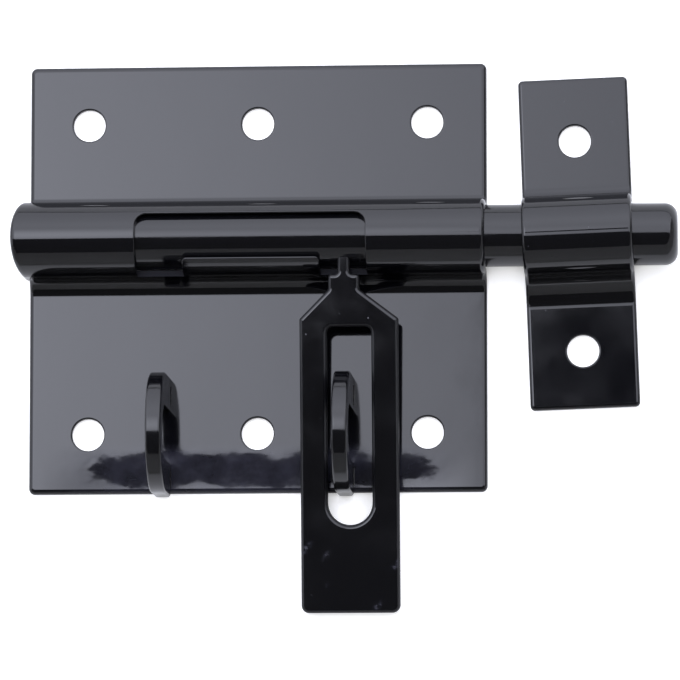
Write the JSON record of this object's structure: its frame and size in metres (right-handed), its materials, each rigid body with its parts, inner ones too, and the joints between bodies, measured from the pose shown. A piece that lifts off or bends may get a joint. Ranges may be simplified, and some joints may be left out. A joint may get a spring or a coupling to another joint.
{
  "type": "padbolt",
  "caption": "Black enamelled padbolt: pressed back plate with a barrel, round sliding bolt with a slotted hasp over a staple, and a separate keeper, for padlocking a gate or shed door.",
  "frame": {"origin": "centre of the back plate's four corner screw holes, on the plane of its back face", "axes": "+X along the bolt towards the keeper, +Y up the door, +Z out of the door face; the back of the plate and keeper lies on z = 0"},
  "size_m": [0.1092, 0.0909, 0.018],
  "materials": {
    "plate_enamel": "gloss black baked enamel on pressed steel",
    "bolt_enamel": "gloss black baked enamel on round steel bar",
    "hasp_enamel": "gloss black baked enamel on stamped steel"
  },
  "bodies": {
    "fixed": {"back_plate": "plate_enamel", "lock_staple": "hasp_enamel", "park_staple": "hasp_enamel", "keeper": "plate_enamel"},
    "bolt": {"bolt_rod": "bolt_enamel"},
    "hasp": {"hasp": "hasp_enamel"}
  },
  "joints": [
    {"name": "bolt_slide", "type": "slide", "parent": "fixed", "child": "bolt", "axis": [1, 0, 0], "range_m": [-0.0026, 0.0013]},
    {"name": "hasp_turn", "type": "hinge", "parent": "bolt", "child": "hasp", "pos_m": [0.01545, 0.0061, 0.0053], "axis": [-1, 0, 0], "range_deg": [0, 84]}
  ]
}
